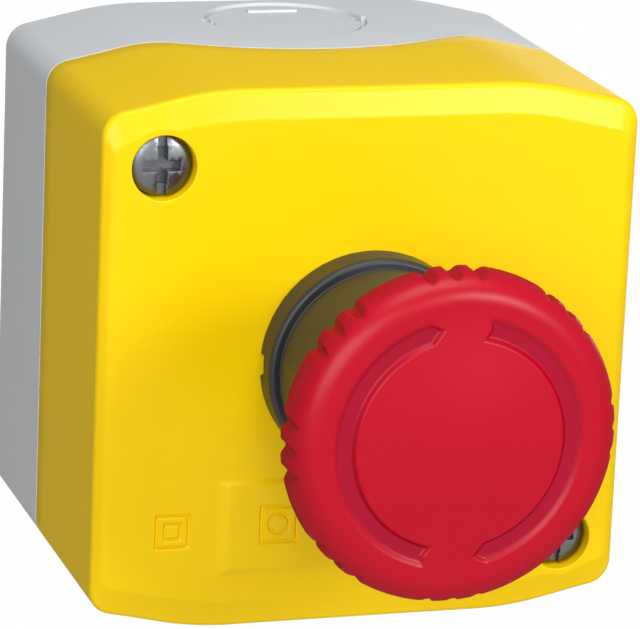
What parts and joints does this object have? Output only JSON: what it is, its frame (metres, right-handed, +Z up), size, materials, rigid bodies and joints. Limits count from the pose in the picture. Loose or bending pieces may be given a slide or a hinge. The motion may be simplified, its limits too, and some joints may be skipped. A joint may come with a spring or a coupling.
{
  "type": "emergency stop station",
  "caption": "Wall-mounted emergency stop: grey rear box, yellow front cover, red mushroom button on a black collar that pushes in and twists to release.",
  "frame": {"origin": "centre of the flat back face that goes against the wall or machine", "axes": "+Z up, +X to the right seen from the front, +Y into the wall, so the button faces -Y"},
  "size_m": [0.068, 0.0894, 0.068],
  "materials": {
    "grey_plastic": "moulded polycarbonate, fine satin",
    "yellow_plastic": "moulded polycarbonate, satin gloss",
    "red_plastic": "moulded polyamide, satin gloss",
    "black_plastic": "moulded polyamide, satin",
    "white_plastic": "moulded acetal, satin",
    "block_plastic": "moulded polyamide, satin",
    "seal_rubber": "moulded nitrile rubber",
    "zinc_plated_steel": "zinc plated",
    "spring_steel": "drawn wire",
    "brass": "stamped strip"
  },
  "bodies": {
    "station": {"base": "grey_plastic", "lid": "yellow_plastic", "lid_gasket": "seal_rubber", "lid_screws": "zinc_plated_steel", "lid_screw_washers": "black_plastic", "head_body": "black_plastic", "head_gasket": "seal_rubber", "head_nut": "black_plastic", "wiper_seal": "seal_rubber", "return_spring": "spring_steel", "left_block_housing": "block_plastic", "left_block_cover": "block_plastic", "left_fixed_contacts": "brass", "left_terminal_clamps": "zinc_plated_steel", "left_terminal_screws": "zinc_plated_steel", "left_block_spring": "spring_steel", "right_block_housing": "block_plastic", "right_block_cover": "block_plastic", "right_fixed_contacts": "brass", "right_terminal_clamps": "zinc_plated_steel", "right_terminal_screws": "zinc_plated_steel", "right_block_spring": "spring_steel"},
    "plunger": {"stem": "white_plastic", "stem_clip": "spring_steel", "pawl_spring": "spring_steel"},
    "button": {"mushroom_cap": "red_plastic", "release_cam": "white_plastic", "twist_spring": "spring_steel"},
    "left_latch": {"left_pawl": "zinc_plated_steel"},
    "left_contacts": {"left_contact_carrier": "red_plastic", "left_contact_bridge": "brass", "left_contact_spring": "spring_steel"},
    "right_latch": {"right_pawl": "zinc_plated_steel"},
    "right_contacts": {"right_contact_carrier": "red_plastic", "right_contact_bridge": "brass", "right_contact_spring": "spring_steel"}
  },
  "joints": [
    {"name": "push", "type": "slide", "parent": "station", "child": "plunger", "axis": [0, 1, 0], "range_m": [0, 0.0045], "stiffness_N_per_m": 1500, "springref_m": -0.006, "deforming": ["return_spring"]},
    {"name": "twist", "type": "hinge", "parent": "plunger", "child": "button", "pos_m": [0, -0.073, 0], "axis": [0, 1, 0], "range_deg": [0, 30], "stiffness_Nm_per_rad": 0.03, "springref_deg": -11.46},
    {"name": "left_pawl_slide", "type": "slide", "parent": "plunger", "child": "left_latch", "axis": [-1, 0, 0], "range_m": [0, 0.0012], "deforming": ["pawl_spring"]},
    {"name": "left_contact_slide", "type": "slide", "parent": "station", "child": "left_contacts", "axis": [0, 1, 0], "range_m": [0, 0.0045], "deforming": ["left_block_spring"]},
    {"name": "right_pawl_slide", "type": "slide", "parent": "plunger", "child": "right_latch", "axis": [1, 0, 0], "range_m": [0, 0.0012]},
    {"name": "right_contact_slide", "type": "slide", "parent": "station", "child": "right_contacts", "axis": [0, 1, 0], "range_m": [0, 0.0045], "deforming": ["right_block_spring"]}
  ],
  "couplings": [
    {"joint": "left_pawl_slide", "follows": "push", "ratio": 0.26666},
    {"joint": "left_contact_slide", "follows": "push", "ratio": 1},
    {"joint": "right_pawl_slide", "follows": "push", "ratio": 0.26666},
    {"joint": "right_contact_slide", "follows": "push", "ratio": 1}
  ]
}
